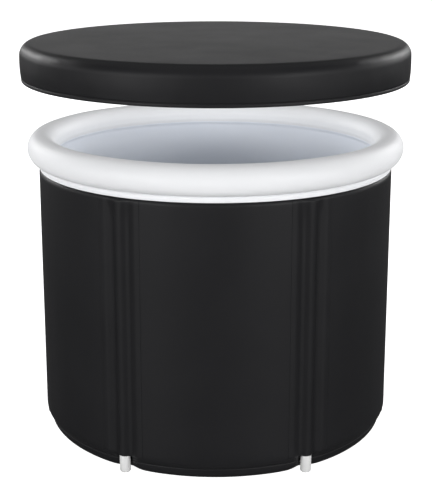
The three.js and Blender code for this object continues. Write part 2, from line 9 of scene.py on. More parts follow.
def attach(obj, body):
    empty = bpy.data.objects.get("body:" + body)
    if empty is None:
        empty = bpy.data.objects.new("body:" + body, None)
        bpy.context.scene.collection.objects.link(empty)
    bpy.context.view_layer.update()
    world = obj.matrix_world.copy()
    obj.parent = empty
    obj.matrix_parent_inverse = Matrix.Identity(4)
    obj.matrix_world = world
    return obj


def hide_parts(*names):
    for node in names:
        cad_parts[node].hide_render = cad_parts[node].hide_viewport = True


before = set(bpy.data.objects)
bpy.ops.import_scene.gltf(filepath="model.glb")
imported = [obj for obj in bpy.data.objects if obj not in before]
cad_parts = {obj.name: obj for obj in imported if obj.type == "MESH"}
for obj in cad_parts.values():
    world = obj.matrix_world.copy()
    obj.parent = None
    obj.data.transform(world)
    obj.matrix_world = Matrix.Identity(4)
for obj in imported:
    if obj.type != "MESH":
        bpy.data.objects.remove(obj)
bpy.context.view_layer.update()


# Base shell
# The dish under the tub, pressed from black coated fabric with a soft rounded edge.
# It is welded to the wall along a seam a thumb's width above the floor.

body_radius = 0.425
base_seam = 0.030
edge_inset = 0.040
edge_rise = 0.070
edge_softness = 0.006
edge_steps = 14
skin_thickness = 0.002
seam_pinch = 0.0042
seam_reach = 0.0105
seam_start = 0.25
rod_count = 6
rod_circle = 0.4125
channel_radius = 0.0128
channel_lip = 0.036
lip_steps = 14
trough_steps = 18
panel_steps = 44
panel_fall = 0.005
panel_fall_power = 2.5
corner_round = 0.013
corner_reach = 0.026
wall_top = 0.646
shoulder_height = 0.010
shoulder_depth = 0.0055
trough_floor = 0.3957
sector = 2 * math.pi / rod_count
lip_circle = body_radius - channel_lip
lip_reach = channel_lip + channel_radius
lip_angle = math.acos(
    (lip_circle ** 2 + rod_circle ** 2 - lip_reach ** 2) / (2 * lip_circle * rod_circle)
)


def plan_point(radius, angle):
    """A place on the plan, at an angle that runs from the front towards +X."""
    return np.array([radius * math.sin(angle), -radius * math.cos(angle)])


def rod_angle(index):
    return (index + 0.5) * sector


def plan_arc(centre, radius, start, end, steps):
    """Arc on the plan, with its end point left to the next stretch."""
    turn = np.linspace(start, end, steps, endpoint=False)
    return centre + radius * np.column_stack([np.cos(turn), np.sin(turn)])


def channel_plan(index, inset):
    """The lip before a rod, the trough round the rod and the lip after it."""
    angle = rod_angle(index)
    rod = plan_point(rod_circle, angle)
    before = plan_point(lip_circle, angle - lip_angle)
    after = plan_point(lip_circle, angle + lip_angle)
    to_rod = rod - before
    cosine = before @ to_rod / (np.linalg.norm(before) * np.linalg.norm(to_rod))
    turn = math.acos(cosine)
    panel_end = angle - lip_angle - math.pi / 2
    panel_start = angle + lip_angle - math.pi / 2
    trough_start = panel_end + turn + math.pi
    trough_end = panel_start - turn + math.pi
    return [
        plan_arc(before, channel_lip - inset, panel_end, panel_end + turn, lip_steps),
        plan_arc(rod, channel_radius + inset, trough_start, trough_end, trough_steps),
        plan_arc(after, channel_lip - inset, panel_start - turn, panel_start, lip_steps),
    ]


def panel_plan(index, inset):
    start = rod_angle(index) + lip_angle - math.pi / 2
    end = rod_angle(index + 1) - lip_angle - math.pi / 2
    return plan_arc(np.zeros(2), body_radius - inset, start, end, panel_steps)


def wall_plan(inset):
    stretches = []
    for index in range(rod_count):
        stretches += channel_plan(index, inset) + [panel_plan(index, inset)]
    return np.concatenate(stretches)


def edge_limit(height, inset):
    """Radius of the rounded lower edge at a height, for the outer face or one inside it."""
    drop = min(1.0, max(0.0, (edge_rise - height) / (edge_rise - inset)))
    return body_radius - edge_inset + (edge_inset - inset) * math.sqrt(1 - drop ** 2)


def from_rods(plan):
    """Share of the way from the nearest rod, at 0, to the middle of a panel, at 1."""
    angle = np.arctan2(plan[:, 0], -plan[:, 1])
    return np.abs((angle / sector) % 1.0 - 0.5) * 2


def shoulder(height):
    """How far the wall rounds in under the ring."""
    rise = min(1.0, max(0.0, (height - wall_top + shoulder_height) / shoulder_height))
    return shoulder_depth * (1 - math.sqrt(1 - rise ** 2))


def drawn_in(plan, height, inset):
    """Radius of each place of a plan at a height, where the panels fall back towards the rods.

    The rounded lower edge is drawn in more there, so that each panel has round lower corners."""
    plain = np.hypot(plan[:, 0], plan[:, 1])
    sunk = panel_fall * (1 - from_rods(plan)) ** panel_fall_power + shoulder(height)
    radius = np.maximum(plain - sunk, np.minimum(plain, trough_floor - inset))
    if height >= edge_rise:
        return radius
    beside = from_rods(plan) * sector / 2 * body_radius
    low = 1 - height / edge_rise
    corner = corner_round * low * np.exp(-((beside / corner_reach) ** 2))
    limit = edge_limit(height, inset) - corner
    softness = edge_softness * low + 1e-5
    gap = np.clip(0.5 + 0.5 * (limit - radius) / softness, 0, 1)
    return limit + (radius - limit) * gap - softness * gap * (1 - gap)


def lifted(plan, height, inset, swell=None):
    """A plan raised to a height, drawn in to the rounded edge and swollen by a function."""
    radius = np.hypot(plan[:, 0], plan[:, 1])
    drawn = drawn_in(plan, height, inset)
    if swell:
        drawn = drawn + swell(plan, height)
    flat = plan * (drawn / radius)[:, None]
    return np.column_stack([flat, np.full(len(flat), height)])


def seam_fold(plan, height):
    """The fabric is drawn in along the seam, between the rods."""
    between = np.minimum(1.0, from_rods(plan) / seam_start)
    return -seam_pinch * between * math.exp(-(((height - base_seam) / seam_reach) ** 2))


def skinned(name, loops, ends):
    """Skins a stack of loops. The stack joins on itself, or its ends are closed.

    Closed ends run to the middle of the loop, and capped ends are one face each."""
    corners = len(loops[0])
    verts = np.concatenate(loops)
    count = len(loops)
    here = np.arange(corners)
    there = (here + 1) % corners
    faces = []
    for level in range(count if ends == "joined" else count - 1):
        low = level * corners
        high = (level + 1) % count * corners
        faces += np.column_stack([low + here, low + there, high + there, high + here]).tolist()
    if ends == "closed":
        first = len(verts)
        last = (count - 1) * corners
        verts = np.concatenate([verts, [loops[0].mean(axis=0)], [loops[-1].mean(axis=0)]])
        sides = list(zip(here.tolist(), there.tolist()))
        faces += [[first, b, a] for a, b in sides]
        faces += [[first + 1, last + a, last + b] for a, b in sides]
    if ends == "capped":
        faces += [here[::-1].tolist(), (here + (count - 1) * corners).tolist()]
    mesh = bpy.data.meshes.new(name)
    mesh.from_pydata(verts.tolist(), [], faces)
    mesh.validate()
    mesh.shade_smooth()
    piece = bpy.data.objects.new(name, mesh)
    bpy.context.collection.objects.link(piece)
    return piece


def new_group(name, inputs, outputs):
    """A shader node group with named sockets, and its ends."""
    group = bpy.data.node_groups.new(name, "ShaderNodeTree")
    for socket, kind in inputs:
        group.interface.new_socket(socket, in_out="INPUT", socket_type=kind)
    for socket, kind in outputs:
        group.interface.new_socket(socket, in_out="OUTPUT", socket_type=kind)
    return group, group.nodes.new("NodeGroupInput"), group.nodes.new("NodeGroupOutput")


def place_node(tree, kind, inputs=None, **settings):
    """A node with its settings. An input takes a value or the output of another node."""
    node = tree.nodes.new(kind)
    for setting, value in settings.items():
        setattr(node, setting, value)
    for socket, value in (inputs or {}).items():
        if isinstance(value, bpy.types.NodeSocket):
            tree.links.new(value, node.inputs[socket])
        else:
            node.inputs[socket].default_value = value
    return node


def math_node(tree, operation, first, second=0.0):
    node = place_node(tree, "ShaderNodeMath", {0: first, 1: second}, operation=operation)
    return node.outputs[0]


def mixed(tree, share, first, second):
    """Blend of two colours."""
    node = place_node(tree, "ShaderNodeMix", data_type="RGBA")
    for socket, value in ((0, share), (6, first), (7, second)):
        if isinstance(value, bpy.types.NodeSocket):
            tree.links.new(value, node.inputs[socket])
        else:
            node.inputs[socket].default_value = value
    return node.outputs[2]


def spread(tree, value, low, high):
    """A value from 0 to 1 spread between two others."""
    node = place_node(tree, "ShaderNodeMapRange", {0: value, 3: low, 4: high})
    return node.outputs[0]


# Threads run round the tub and up it, and straight across where the cloth lies flat.
flat_slope = 0.7
thread_group, thread_in, thread_out = new_group(
    "woven_threads",
    [("Thread", "NodeSocketFloat")],
    [("Height", "NodeSocketFloat")],
)
where = place_node(thread_group, "ShaderNodeTexCoord").outputs["Object"]
axes = place_node(thread_group, "ShaderNodeSeparateXYZ", {0: where}).outputs
facing = place_node(thread_group, "ShaderNodeNewGeometry").outputs["Normal"]
upward = place_node(thread_group, "ShaderNodeSeparateXYZ", {0: facing}).outputs[2]
slope = math_node(thread_group, "ABSOLUTE", upward)
lies_flat = math_node(thread_group, "GREATER_THAN", slope, flat_slope)
turn_round = math_node(thread_group, "ARCTAN2", axes[0], axes[1])
round_tub = math_node(thread_group, "MULTIPLY", turn_round, body_radius)
across = place_node(
    thread_group, "ShaderNodeMix", {0: lies_flat, 2: round_tub, 3: axes[0]}
).outputs[0]
along = place_node(
    thread_group, "ShaderNodeMix", {0: lies_flat, 2: axes[2], 3: axes[1]}
).outputs[0]
pitch = math_node(thread_group, "DIVIDE", math.pi, thread_in.outputs["Thread"])
weft = math_node(thread_group, "SINE", math_node(thread_group, "MULTIPLY", across, pitch))
warp = math_node(thread_group, "SINE", math_node(thread_group, "MULTIPLY", along, pitch))
woven = math_node(thread_group, "MULTIPLY", weft, warp)
thread_group.links.new(math_node(thread_group, "ABSOLUTE", woven), thread_out.inputs["Height"])

# Coated cloth: the coating nearly fills the weave, and it is a little uneven in tone and gloss.
surface_outputs = [("Colour", "NodeSocketColor"), ("Roughness", "NodeSocketFloat"),
                   ("Height", "NodeSocketFloat")]
cloth_clouds = 7.0
cloth_specks = 420.0
cloud_share = 0.8
thread_share = 0.2
cloth_group, cloth_in, cloth_out = new_group(
    "coated_cloth",
    [("Deep", "NodeSocketColor"), ("Pale", "NodeSocketColor"),
     ("Gloss low", "NodeSocketFloat"), ("Gloss high", "NodeSocketFloat"),
     ("Thread", "NodeSocketFloat"), ("Grain", "NodeSocketFloat")],
    surface_outputs,
)
where = place_node(cloth_group, "ShaderNodeTexCoord").outputs["Object"]
broad = place_node(
    cloth_group, "ShaderNodeTexNoise",
    {"Vector": where, "Scale": cloth_clouds, "Detail": 4.0, "Roughness": 0.6},
).outputs[0]
fine = place_node(
    cloth_group, "ShaderNodeTexNoise", {"Vector": where, "Scale": cloth_specks, "Detail": 3.0}
).outputs[0]
threads = place_node(cloth_group, "ShaderNodeGroup", node_tree=thread_group)
cloth_group.links.new(cloth_in.outputs["Thread"], threads.inputs["Thread"])
tone = math_node(cloth_group, "ADD", math_node(cloth_group, "MULTIPLY", broad, cloud_share),
                 math_node(cloth_group, "MULTIPLY", threads.outputs[0], thread_share))
cloth_colour = mixed(cloth_group, tone, cloth_in.outputs["Deep"], cloth_in.outputs["Pale"])
cloth_group.links.new(cloth_colour, cloth_out.inputs["Colour"])
gloss = spread(cloth_group, broad, cloth_in.outputs["Gloss low"], cloth_in.outputs["Gloss high"])
cloth_group.links.new(gloss, cloth_out.inputs["Roughness"])
relief = math_node(cloth_group, "ADD", threads.outputs[0],
                   math_node(cloth_group, "MULTIPLY", fine, cloth_in.outputs["Grain"]))
cloth_group.links.new(relief, cloth_out.inputs["Height"])


def finish(name, group, values, relief_depth, **constants):
    """A material with colour, roughness and relief from a group, and constants for the rest."""
    material = bpy.data.materials.new(name)
    material.use_nodes = True
    tree = material.node_tree
    shader = tree.nodes["Principled BSDF"]
    surface = place_node(tree, "ShaderNodeGroup", node_tree=group)
    for socket, value in values.items():
        surface.inputs[socket].default_value = value
    bump = place_node(
        tree, "ShaderNodeBump",
        {"Height": surface.outputs["Height"], "Distance": relief_depth, "Strength": 1.0},
    )
    tree.links.new(surface.outputs["Colour"], shader.inputs["Base Color"])
    tree.links.new(surface.outputs["Roughness"], shader.inputs["Roughness"])
    tree.links.new(bump.outputs["Normal"], shader.inputs["Normal"])
    for socket, value in constants.items():
        shader.inputs[socket.replace("_", " ")].default_value = value
    return material


black_fabric = finish(
    "black_fabric", cloth_group,
    {"Deep": (0.0100, 0.0100, 0.0110, 1), "Pale": (0.0145, 0.0145, 0.0160, 1),
     "Gloss low": 0.36, "Gloss high": 0.50, "Thread": 0.0011, "Grain": 0.8},
    relief_depth=0.00006, Specular_IOR_Level=0.16, Sheen_Weight=0.01, Sheen_Roughness=0.4,
)


def fitted(piece, material, slot, body, *nodes):
    """Finishes a piece, lets it ride on its body and stand for its nodes."""
    piece.data.materials.clear()
    piece.data.materials.append(material)
    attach(piece, body)
    if nodes:
        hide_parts(*nodes)


floor_shares = [0.05, 0.3, 0.6, 0.85, 0.97]
seam_turn = math.asin((edge_rise - base_seam) / edge_rise)
edge_turns = np.linspace(math.pi / 2, seam_turn, edge_steps)
edge_heights = [edge_rise * (1 - math.sin(turn)) for turn in edge_turns]
outer_plan = wall_plan(0)
inner_plan = wall_plan(skin_thickness)
floor_loop = lifted(outer_plan, 0.0, 0)
inner_floor_loop = lifted(inner_plan, skin_thickness, skin_thickness)
outside = [floor_loop * [share, share, 1] for share in floor_shares]
outside += [lifted(outer_plan, height, 0, seam_fold) for height in edge_heights]
inside = [lifted(inner_plan, max(height, skin_thickness), skin_thickness, seam_fold)
          for height in edge_heights[:0:-1]]
inside += [inner_floor_loop * [share, share, 1] for share in floor_shares[::-1]]
base = skinned("base_dish", outside + inside, "closed")
fitted(base, black_fabric, "black_fabric", "tub", "base_shell")


# Base pad
# A disc of closed-cell foam that fills the dish up to the seam and insulates the floor.
# It is cut from sheet and lies loose under the liner.

foam_inset = 0.0028
pad_heights = [foam_inset, 0.006, 0.012, 0.020, 0.0265, 0.0292]
pad_crown = 0.0004
pad_middle = [0.5, 0.5, 1]
pad_edge = [0.98, 0.98, 1]
foam_clouds = 18.0

cell_group, cell_in, cell_out = new_group(
    "foam_cells",
    [("Deep", "NodeSocketColor"), ("Pale", "NodeSocketColor"), ("Cells", "NodeSocketFloat")],
    surface_outputs,
)
where = place_node(cell_group, "ShaderNodeTexCoord").outputs["Object"]
cells = place_node(
    cell_group, "ShaderNodeTexVoronoi", {"Vector": where, "Scale": cell_in.outputs["Cells"]}
).outputs[0]
clouds = place_node(
    cell_group, "ShaderNodeTexNoise", {"Vector": where, "Scale": foam_clouds, "Detail": 3.0}
).outputs[0]
cell_tone = math_node(cell_group, "MULTIPLY", clouds, spread(cell_group, cells, 0.5, 1.2))
cell_colour = mixed(cell_group, cell_tone, cell_in.outputs["Deep"], cell_in.outputs["Pale"])
cell_group.links.new(cell_colour, cell_out.inputs["Colour"])
cell_group.links.new(spread(cell_group, clouds, 0.82, 0.98), cell_out.inputs["Roughness"])
cell_group.links.new(cells, cell_out.inputs["Height"])
foam = finish(
    "foam", cell_group,
    {"Deep": (0.42, 0.42, 0.40, 1), "Pale": (0.72, 0.72, 0.69, 1), "Cells": 700.0},
    relief_depth=0.0004, Specular_IOR_Level=0.2,
)
pad_plan = wall_plan(foam_inset)
pad_loops = [lifted(pad_plan, height, foam_inset, seam_fold) for height in pad_heights]
pad_top = pad_loops[-1] + [0, 0, pad_crown]
pad_loops = [pad_loops[0] * pad_middle] + pad_loops + [pad_top * pad_edge, pad_top * pad_middle]
pad = skinned("base_foam", pad_loops, "closed")
fitted(pad, foam, "foam", "tub", "base_pad")


# Wall foam
# Six panels of insulating foam that stand between the skin and the liner.
# Each reaches from the middle of one rod channel to the middle of the next.

foam_top = 0.6585
foam_inner_radius = 0.3907
foam_join = 0.0004
half_panel = 0.2
inner_face = 0.002
inner_steps = 26
foam_heights = [base_seam + 0.0008, 0.036, 0.044, 0.054, edge_rise, 0.25, 0.45, 0.63, 0.637,
                0.641, 0.644, 0.6457, foam_top]

for index in range(rod_count):
    first_trough, first_lip = channel_plan(index, foam_inset)[1:]
    second_lip, second_trough = channel_plan(index + 1, foam_inset)[:2]
    half = len(first_trough) // 2
    inner_turns = np.linspace(rod_angle(index + 1), rod_angle(index), inner_steps)
    inner_arc = np.array([plan_point(foam_inner_radius, turn) for turn in inner_turns])
    shape = np.concatenate([
        first_trough[half:], first_lip, panel_plan(index, foam_inset), second_lip,
        second_trough[:half + 1], inner_arc,
    ])
    middle = plan_point(foam_inner_radius, rod_angle(index) + sector / 2)
    shape = shape + (middle - shape) * (foam_join / half_panel)
    outer_face = np.hypot(shape[:, 0], shape[:, 1]) > foam_inner_radius + inner_face
    panel_loops = []
    for height in foam_heights:
        swollen = lifted(shape, height, foam_inset, seam_fold)
        plain = np.column_stack([shape, np.full(len(shape), height)])
        panel_loops.append(np.where(outer_face[:, None], swollen, plain))
    panel = skinned(f"foam_panel_{index + 1}", panel_loops, "capped")
    fitted(panel, foam, "foam", "tub", f"wall_foam_{index + 1}")


# Outer wall
# The tub's skin: black coated fabric stretched over the foam and drawn in at every rod.
# It is welded to the dish along the lower seam and tucked under the ring's band at the top.

panel_puff = 0.0016
ripple_depth = 0.0007
ripple_across = 9.0
ripple_up = 2.2
crease_across = 26.0
crease_up = 5.0
crease_share = 0.5
calm_share = 0.35
wall_bottom = base_seam + 0.0004
lower_steps = 12
middle_steps = 46
shoulder_steps = 7


def wall_swell(plan, height):
    """Panels puff out a little, the seam is drawn in, and the cloth ripples near its ends."""
    rise = min(1.0, max(0.0, (height - base_seam) / (wall_top - base_seam)))
    belly = math.sin(math.pi * rise)
    puff = panel_puff * from_rods(plan) * math.sqrt(belly)
    near_ends = calm_share + (1 - calm_share) * (1 - belly) ** 2
    ripple = np.array([
        noise.noise(Vector((ripple_across * x, ripple_across * y, ripple_up * height)))
        + crease_share
        * noise.noise(Vector((crease_across * x, crease_across * y, crease_up * height + 3.0)))
        for x, y in plan
    ])
    return puff + ripple_depth * near_ends * ripple + seam_fold(plan, height)


lower_turns = np.linspace(math.asin((edge_rise - wall_bottom) / edge_rise), 0, lower_steps)
wall_heights = [edge_rise * (1 - math.sin(turn)) for turn in lower_turns]
wall_heights += list(np.linspace(edge_rise, wall_top - shoulder_height, middle_steps)[1:])
wall_heights += [wall_top - shoulder_height * (1 - math.sin(turn))
                 for turn in np.linspace(0, math.pi / 2, shoulder_steps)[1:]]
outside = [lifted(outer_plan, height, 0, wall_swell) for height in wall_heights]
inside = [lifted(inner_plan, height, skin_thickness, seam_fold) for height in wall_heights[::-1]]
wall = skinned("wall_skin", outside + inside, "joined")
fitted(wall, black_fabric, "black_fabric", "tub", "outer_wall")


# Inner liner
# The cup inside the wall: pale blue-grey vinyl that laps on to the inner side of the ring.
# Its wall and floor meet in a soft round corner, and it is welded along the lap.

liner_radius = 0.3884
liner_thickness = 0.0018
liner_floor = 0.0325
liner_top = 0.6690
liner_corner = 0.022
liner_rings = [0.02, 0.15, 0.28, 0.345]
liner_slack = 0.0016
slack_from = 0.36
slack_around = 2.4
slack_up = 1.5
slack_scale = 3.0
slack_share = 0.6
lap_circle = 0.4155
lap_height = 0.694
lap_size = 0.0353
lap_thickness = 0.0004
lap_low, lap_edge, lap_back = (math.radians(turn) for turn in (217, 204, 222))


def turned(name, profile, segments, ends, relief=None):
    """Turns a profile of (radius, height) about the Z axis, with a relief along the radius."""
    turns = np.linspace(0, 2 * math.pi, segments, endpoint=False)
    loops = []
    for radius, height in profile:
        radii = np.full(segments, radius)
        if relief:
            radii = radii + np.array([relief(turn, radius, height) for turn in turns])
        loops.append(np.column_stack([radii * np.sin(turns), -radii * np.cos(turns),
                                      np.full(segments, height)]))
    return skinned(name, loops, ends)


def round_corner(radius, height, size, start, end, steps):
    """Points of a rounded corner on a profile, about its centre."""
    return [(radius + size * math.cos(turn), height + size * math.sin(turn))
            for turn in np.linspace(start, end, steps)]


def liner_ripple(turn, radius, height):
    """Slack vinyl ripples upright, most at the middle of the wall."""
    share = min(1.0, max(0.0, (height - liner_floor) / (liner_top - liner_floor)))
    place = Vector((slack_around * math.cos(turn), slack_around * math.sin(turn),
                    slack_up * height))
    ripple = slack_share + noise.noise(place * slack_scale)
    return -liner_slack * math.sin(math.pi * share) * ripple * (radius > slack_from)


grey_vinyl = finish(
    "grey_liner", cloth_group,
    {"Deep": (0.78, 0.82, 0.89, 1), "Pale": (0.85, 0.88, 0.93, 1),
     "Gloss low": 0.34, "Gloss high": 0.5, "Thread": 0.0016, "Grain": 1.2},
    relief_depth=0.00005, Specular_IOR_Level=0.45,
)
liner_heights = np.linspace(liner_floor + liner_corner, liner_top, 26)[1:]
liner_profile = [(radius, liner_floor) for radius in liner_rings]
liner_profile += round_corner(liner_radius - liner_corner, liner_floor + liner_corner,
                              liner_corner, -math.pi / 2, 0, 8)
liner_profile += [(liner_radius, height) for height in liner_heights]
liner_profile += round_corner(lap_circle, lap_height, lap_size, lap_low, lap_edge, 6)
liner_profile += round_corner(lap_circle, lap_height, lap_size - lap_thickness,
                              lap_edge, lap_back, 6)
liner_profile += [(liner_radius + liner_thickness, height - 0.002)
                  for height in liner_heights[::-1]]
liner_profile += [(liner_radius + liner_thickness, liner_floor - 0.001),
                  (liner_radius - 0.004, liner_floor - liner_thickness),
                  (0.15, liner_floor - liner_thickness), (0.02, liner_floor - liner_thickness)]
liner = turned("liner_cup", liner_profile[::-1], 288, "closed", liner_ripple)
fitted(liner, grey_vinyl, "grey_liner", "tub", "inner_liner")


# Rod feet
# White moulded end caps that stand on the floor under the sleeves, one on each rod's lower end.
# Each is pushed on to its rod and shows below the hem of the sleeve.

moulding_flow = 40.0
moulding_grain = 1400.0
grain_group, grain_in, grain_out = new_group(
    "moulded_grain",
    [("Deep", "NodeSocketColor"), ("Pale", "NodeSocketColor"),
     ("Gloss low", "NodeSocketFloat"), ("Gloss high", "NodeSocketFloat")],
    surface_outputs,
)
where = place_node(grain_group, "ShaderNodeTexCoord").outputs["Object"]
flow = place_node(
    grain_group, "ShaderNodeTexNoise", {"Vector": where, "Scale": moulding_flow, "Detail": 4.0}
).outputs[0]
grain = place_node(
    grain_group, "ShaderNodeTexNoise", {"Vector": where, "Scale": moulding_grain, "Detail": 2.0}
).outputs[0]
grain_colour = mixed(grain_group, flow, grain_in.outputs["Deep"], grain_in.outputs["Pale"])
grain_group.links.new(grain_colour, grain_out.inputs["Colour"])
gloss = spread(grain_group, flow, grain_in.outputs["Gloss low"], grain_in.outputs["Gloss high"])
grain_group.links.new(gloss, grain_out.inputs["Roughness"])
grain_group.links.new(grain, grain_out.inputs["Height"])
white_plastic = finish(
    "white_plastic", grain_group,
    {"Deep": (0.70, 0.70, 0.695, 1), "Pale": (0.78, 0.78, 0.78, 1),
     "Gloss low": 0.28, "Gloss high": 0.42},
    relief_depth=0.00004, Specular_IOR_Level=0.5,
)

foot_radius = 0.0125
foot_height = 0.042
foot_round = 0.0055
foot_socket = 0.0113
foot_floor = 0.004
foot_eye = 0.002
foot_segments = 48
foot_profile = [(foot_eye, 0.0), (0.005, 0.0)]
foot_profile += round_corner(foot_radius - foot_round, foot_round, foot_round, -math.pi / 2, 0, 8)
foot_profile += [(foot_radius, 0.012), (foot_radius, foot_height - 0.0006),
                 (foot_radius - 0.0005, foot_height), (foot_socket + 0.0002, foot_height),
                 (foot_socket, foot_height - 0.0004), (foot_socket, foot_floor + 0.001),
                 (foot_socket - 0.001, foot_floor), (foot_eye, foot_floor)]
for index in range(rod_count):
    foot = turned(f"foot_cap_{index + 1}", foot_profile, foot_segments, "closed")
    place = plan_point(rod_circle, rod_angle(index))
    foot.data.transform(Matrix.Translation((place[0], place[1], 0)))
    fitted(foot, white_plastic, "white_plastic", "tub", f"rod_foot_{index + 1}")


# Support rods and their top plugs
# Stiff plastic tubes that hold the wall up, with plugs in their upper ends against chafing.
# They are pushed up the sleeves from below.

black_plastic = finish(
    "black_plastic", grain_group,
    {"Deep": (0.020, 0.020, 0.022, 1), "Pale": (0.034, 0.034, 0.036, 1),
     "Gloss low": 0.3, "Gloss high": 0.46},
    relief_depth=0.00005, Specular_IOR_Level=0.5,
)


def kept_node(name, material, edge):
    """A CAD node that stays, with its material and its edges broken."""
    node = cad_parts[name]
    node.data.materials.clear()
    node.data.materials.append(material)
    weld = node.modifiers.new("joined_faces", "WELD")
    weld.merge_threshold = 0.00001
    bevel = node.modifiers.new("broken_edges", "BEVEL")
    bevel.width = edge
    bevel.segments = 2
    bevel.limit_method = "ANGLE"
    bevel.angle_limit = math.radians(40)
    return node


for index in range(rod_count):
    kept_node(f"support_rod_{index + 1}", white_plastic, 0.0003)
    kept_node(f"rod_top_cap_{index + 1}", black_plastic, 0.0004)


# Rod sleeves
# Strips of the wall's fabric welded over the channels, so that each makes a tunnel for its rod.
# The strip lies on the lips of the two panels and dips into a soft groove on each side of the rod.

sleeve_bottom = 0.0424
sleeve_top = 0.6445
sleeve_thickness = 0.0012
sleeve_reach = 0.052
sleeve_settle = 0.038
sleeve_taper = 0.014
crest_lift = 0.0003
groove_depth = 0.0050
groove_place = 0.0165
groove_inside = 0.0072
groove_outside = 0.020
groove_fade = 0.85
top_reach = 0.028
closing_start = 0.6375
closing_depth = 0.006
lying_gap = 0.0003
lying_sink = 0.0002
strip_softness = 0.003
strip_ripple = 0.0005
ripple_reach = 0.04
strip_points = 97
lip_beside = lip_circle * math.sin(lip_angle)
lip_beyond = lip_circle * math.cos(lip_angle)
lip_end = body_radius * math.sin(lip_angle)
sleeve_across = np.linspace(-sleeve_reach, sleeve_reach, strip_points)


def smooth_top(first, second, softness):
    """The higher of two heights, with the corner between them filled."""
    share = np.clip(0.5 + 0.5 * (first - second) / softness, 0, 1)
    return second + (first - second) * share + softness * share * (1 - share)


def on_plan(index, section):
    """Places across a rod and out from the axis, turned to that rod on the plan."""
    angle = rod_angle(index)
    along = np.array([math.cos(angle), math.sin(angle)])
    return section[:, :1] * along + section[:, 1:] * plan_point(1.0, angle)


def eased(share):
    """A share from 0 to 1 that starts and ends level."""
    share = np.clip(share, 0, 1)
    return share * share * (3 - 2 * share)


def on_wall(index, away, height):
    """Distance of the wall's skin from the axis, where the plain plan lies at a distance."""
    plan = on_plan(index, np.column_stack([sleeve_across, away]))
    plain = np.hypot(plan[:, 0], plan[:, 1])
    return away + drawn_in(plan, height, 0) + wall_swell(plan, height) - plain


def sleeve_section(index, height):
    """Distance of the strip from the tub's axis along the rod's direction, across the strip."""
    beside = np.abs(sleeve_across)
    panel = np.sqrt(body_radius ** 2 - beside ** 2)
    lip = lip_beyond + np.sqrt(np.clip(channel_lip ** 2 - (lip_beside - beside) ** 2, 0, None))
    skin = on_wall(index, np.where(beside < lip_end, lip, panel), height)
    settled = on_wall(index, panel, height)
    near_top = math.exp(-((wall_top - height) / top_reach) ** 2)
    width = np.where(beside < groove_place, groove_inside, groove_outside)
    in_groove = np.exp(-(((beside - groove_place) / width) ** 2))
    groove = groove_depth * (1 - groove_fade * near_top) * in_groove
    closing = min(1.0, max(0.0, (height - closing_start) / (sleeve_top - closing_start)))
    crest = panel + crest_lift - closing_depth * closing ** 2
    strip = crest + (settled - crest) * eased(beside / sleeve_settle) - groove
    taper = eased((sleeve_reach - beside) / sleeve_taper)
    lying = skin + (sleeve_thickness + lying_gap) * taper - lying_sink
    section = smooth_top(strip, lying, strip_softness)
    ripple = np.array([noise.noise(Vector((30 * u + 7.3 * index, 9.0 * height, 1.7 * index)))
                       for u in sleeve_across])
    near_rod = np.clip(1 - beside / ripple_reach, 0, 1)
    return section + strip_ripple * (0.4 + near_top) * ripple * near_rod


def sleeve_loop(index, height):
    """Outline of the strip at a height: its outer face and its inner face."""
    outer = np.column_stack([sleeve_across, sleeve_section(index, height)])
    slope = np.gradient(outer[:, 1], outer[:, 0])
    normal = np.column_stack([-slope, np.ones_like(slope)]) / np.hypot(slope, 1)[:, None]
    inner = outer - normal * sleeve_thickness
    plan = on_plan(index, np.concatenate([outer, inner[::-1]]))
    return np.column_stack([plan, np.full(len(plan), height)])


hem_end = 0.09
neck_start = 0.60
sleeve_heights = list(np.linspace(sleeve_bottom, hem_end, 14))
sleeve_heights += list(np.linspace(hem_end, neck_start, 40)[1:])
sleeve_heights += list(np.linspace(neck_start, sleeve_top, 18)[1:])
for index in range(rod_count):
    loops = [sleeve_loop(index, height) for height in sleeve_heights]
    sleeve = skinned(f"sleeve_strip_{index + 1}", loops, "capped")
    fitted(sleeve, black_fabric, "black_fabric", "tub", f"rod_sleeve_{index + 1}")


# Ring band
# A narrow strip of white vinyl that joins the ring to the top of the wall.
# Its lower edge is rolled into a small bead over the fabric, its upper edge tucked under the ring.

band_radius = 0.4208
band_thickness = 0.0018
band_bottom = 0.6463
band_bead = 0.0011
bead_fullness = 0.0003
band_tuck = 0.0034
band_segments = 288
ring_circle = 0.4155
ring_height = 0.694
ring_tube = 0.035
ring_ease = 0.0003
band_top = ring_height - math.sqrt(ring_tube ** 2 - (band_radius - ring_circle) ** 2) - ring_ease

white_vinyl = finish(
    "white_vinyl", cloth_group,
    {"Deep": (0.82, 0.83, 0.85, 1), "Pale": (0.88, 0.885, 0.90, 1),
     "Gloss low": 0.45, "Gloss high": 0.58, "Thread": 0.0014, "Grain": 1.0},
    relief_depth=0.00004, Specular_IOR_Level=0.4,
)
tuck_bend = band_radius - 0.2 * band_tuck
tuck_start = band_top - band_tuck * 1.5
band_inside = band_radius - band_thickness
band_profile = round_corner(band_radius, band_bottom + band_bead, band_bead + bead_fullness,
                            -math.pi / 2, math.pi / 2, 9)
band_profile += [(band_radius, band_bottom + 2.4 * band_bead), (band_radius, tuck_start),
                 (tuck_bend, band_top - band_tuck),
                 (band_radius - band_tuck, band_top - 0.0002),
                 (band_radius - band_tuck - 0.0010, band_top - 0.0003),
                 (tuck_bend - 0.0014, band_top - band_tuck),
                 (band_inside, tuck_start), (band_inside, band_bottom + 0.0005)]
band = turned("ring_band", band_profile, band_segments, "joined")
fitted(band, white_vinyl, "white_vinyl", "tub", "ring_lip")


# Top ring
# The inflatable ring round the mouth: white vinyl welded along its inner side and blown up hard.
# It stands on the band and the liner, and it keeps the mouth round and stiff.

ring_seam = 0.0007
seam_width = 0.004
ring_pucker = 0.0006
pucker_width = 0.018
ring_sag = 0.0006
ring_segments = 288
ring_around = 72


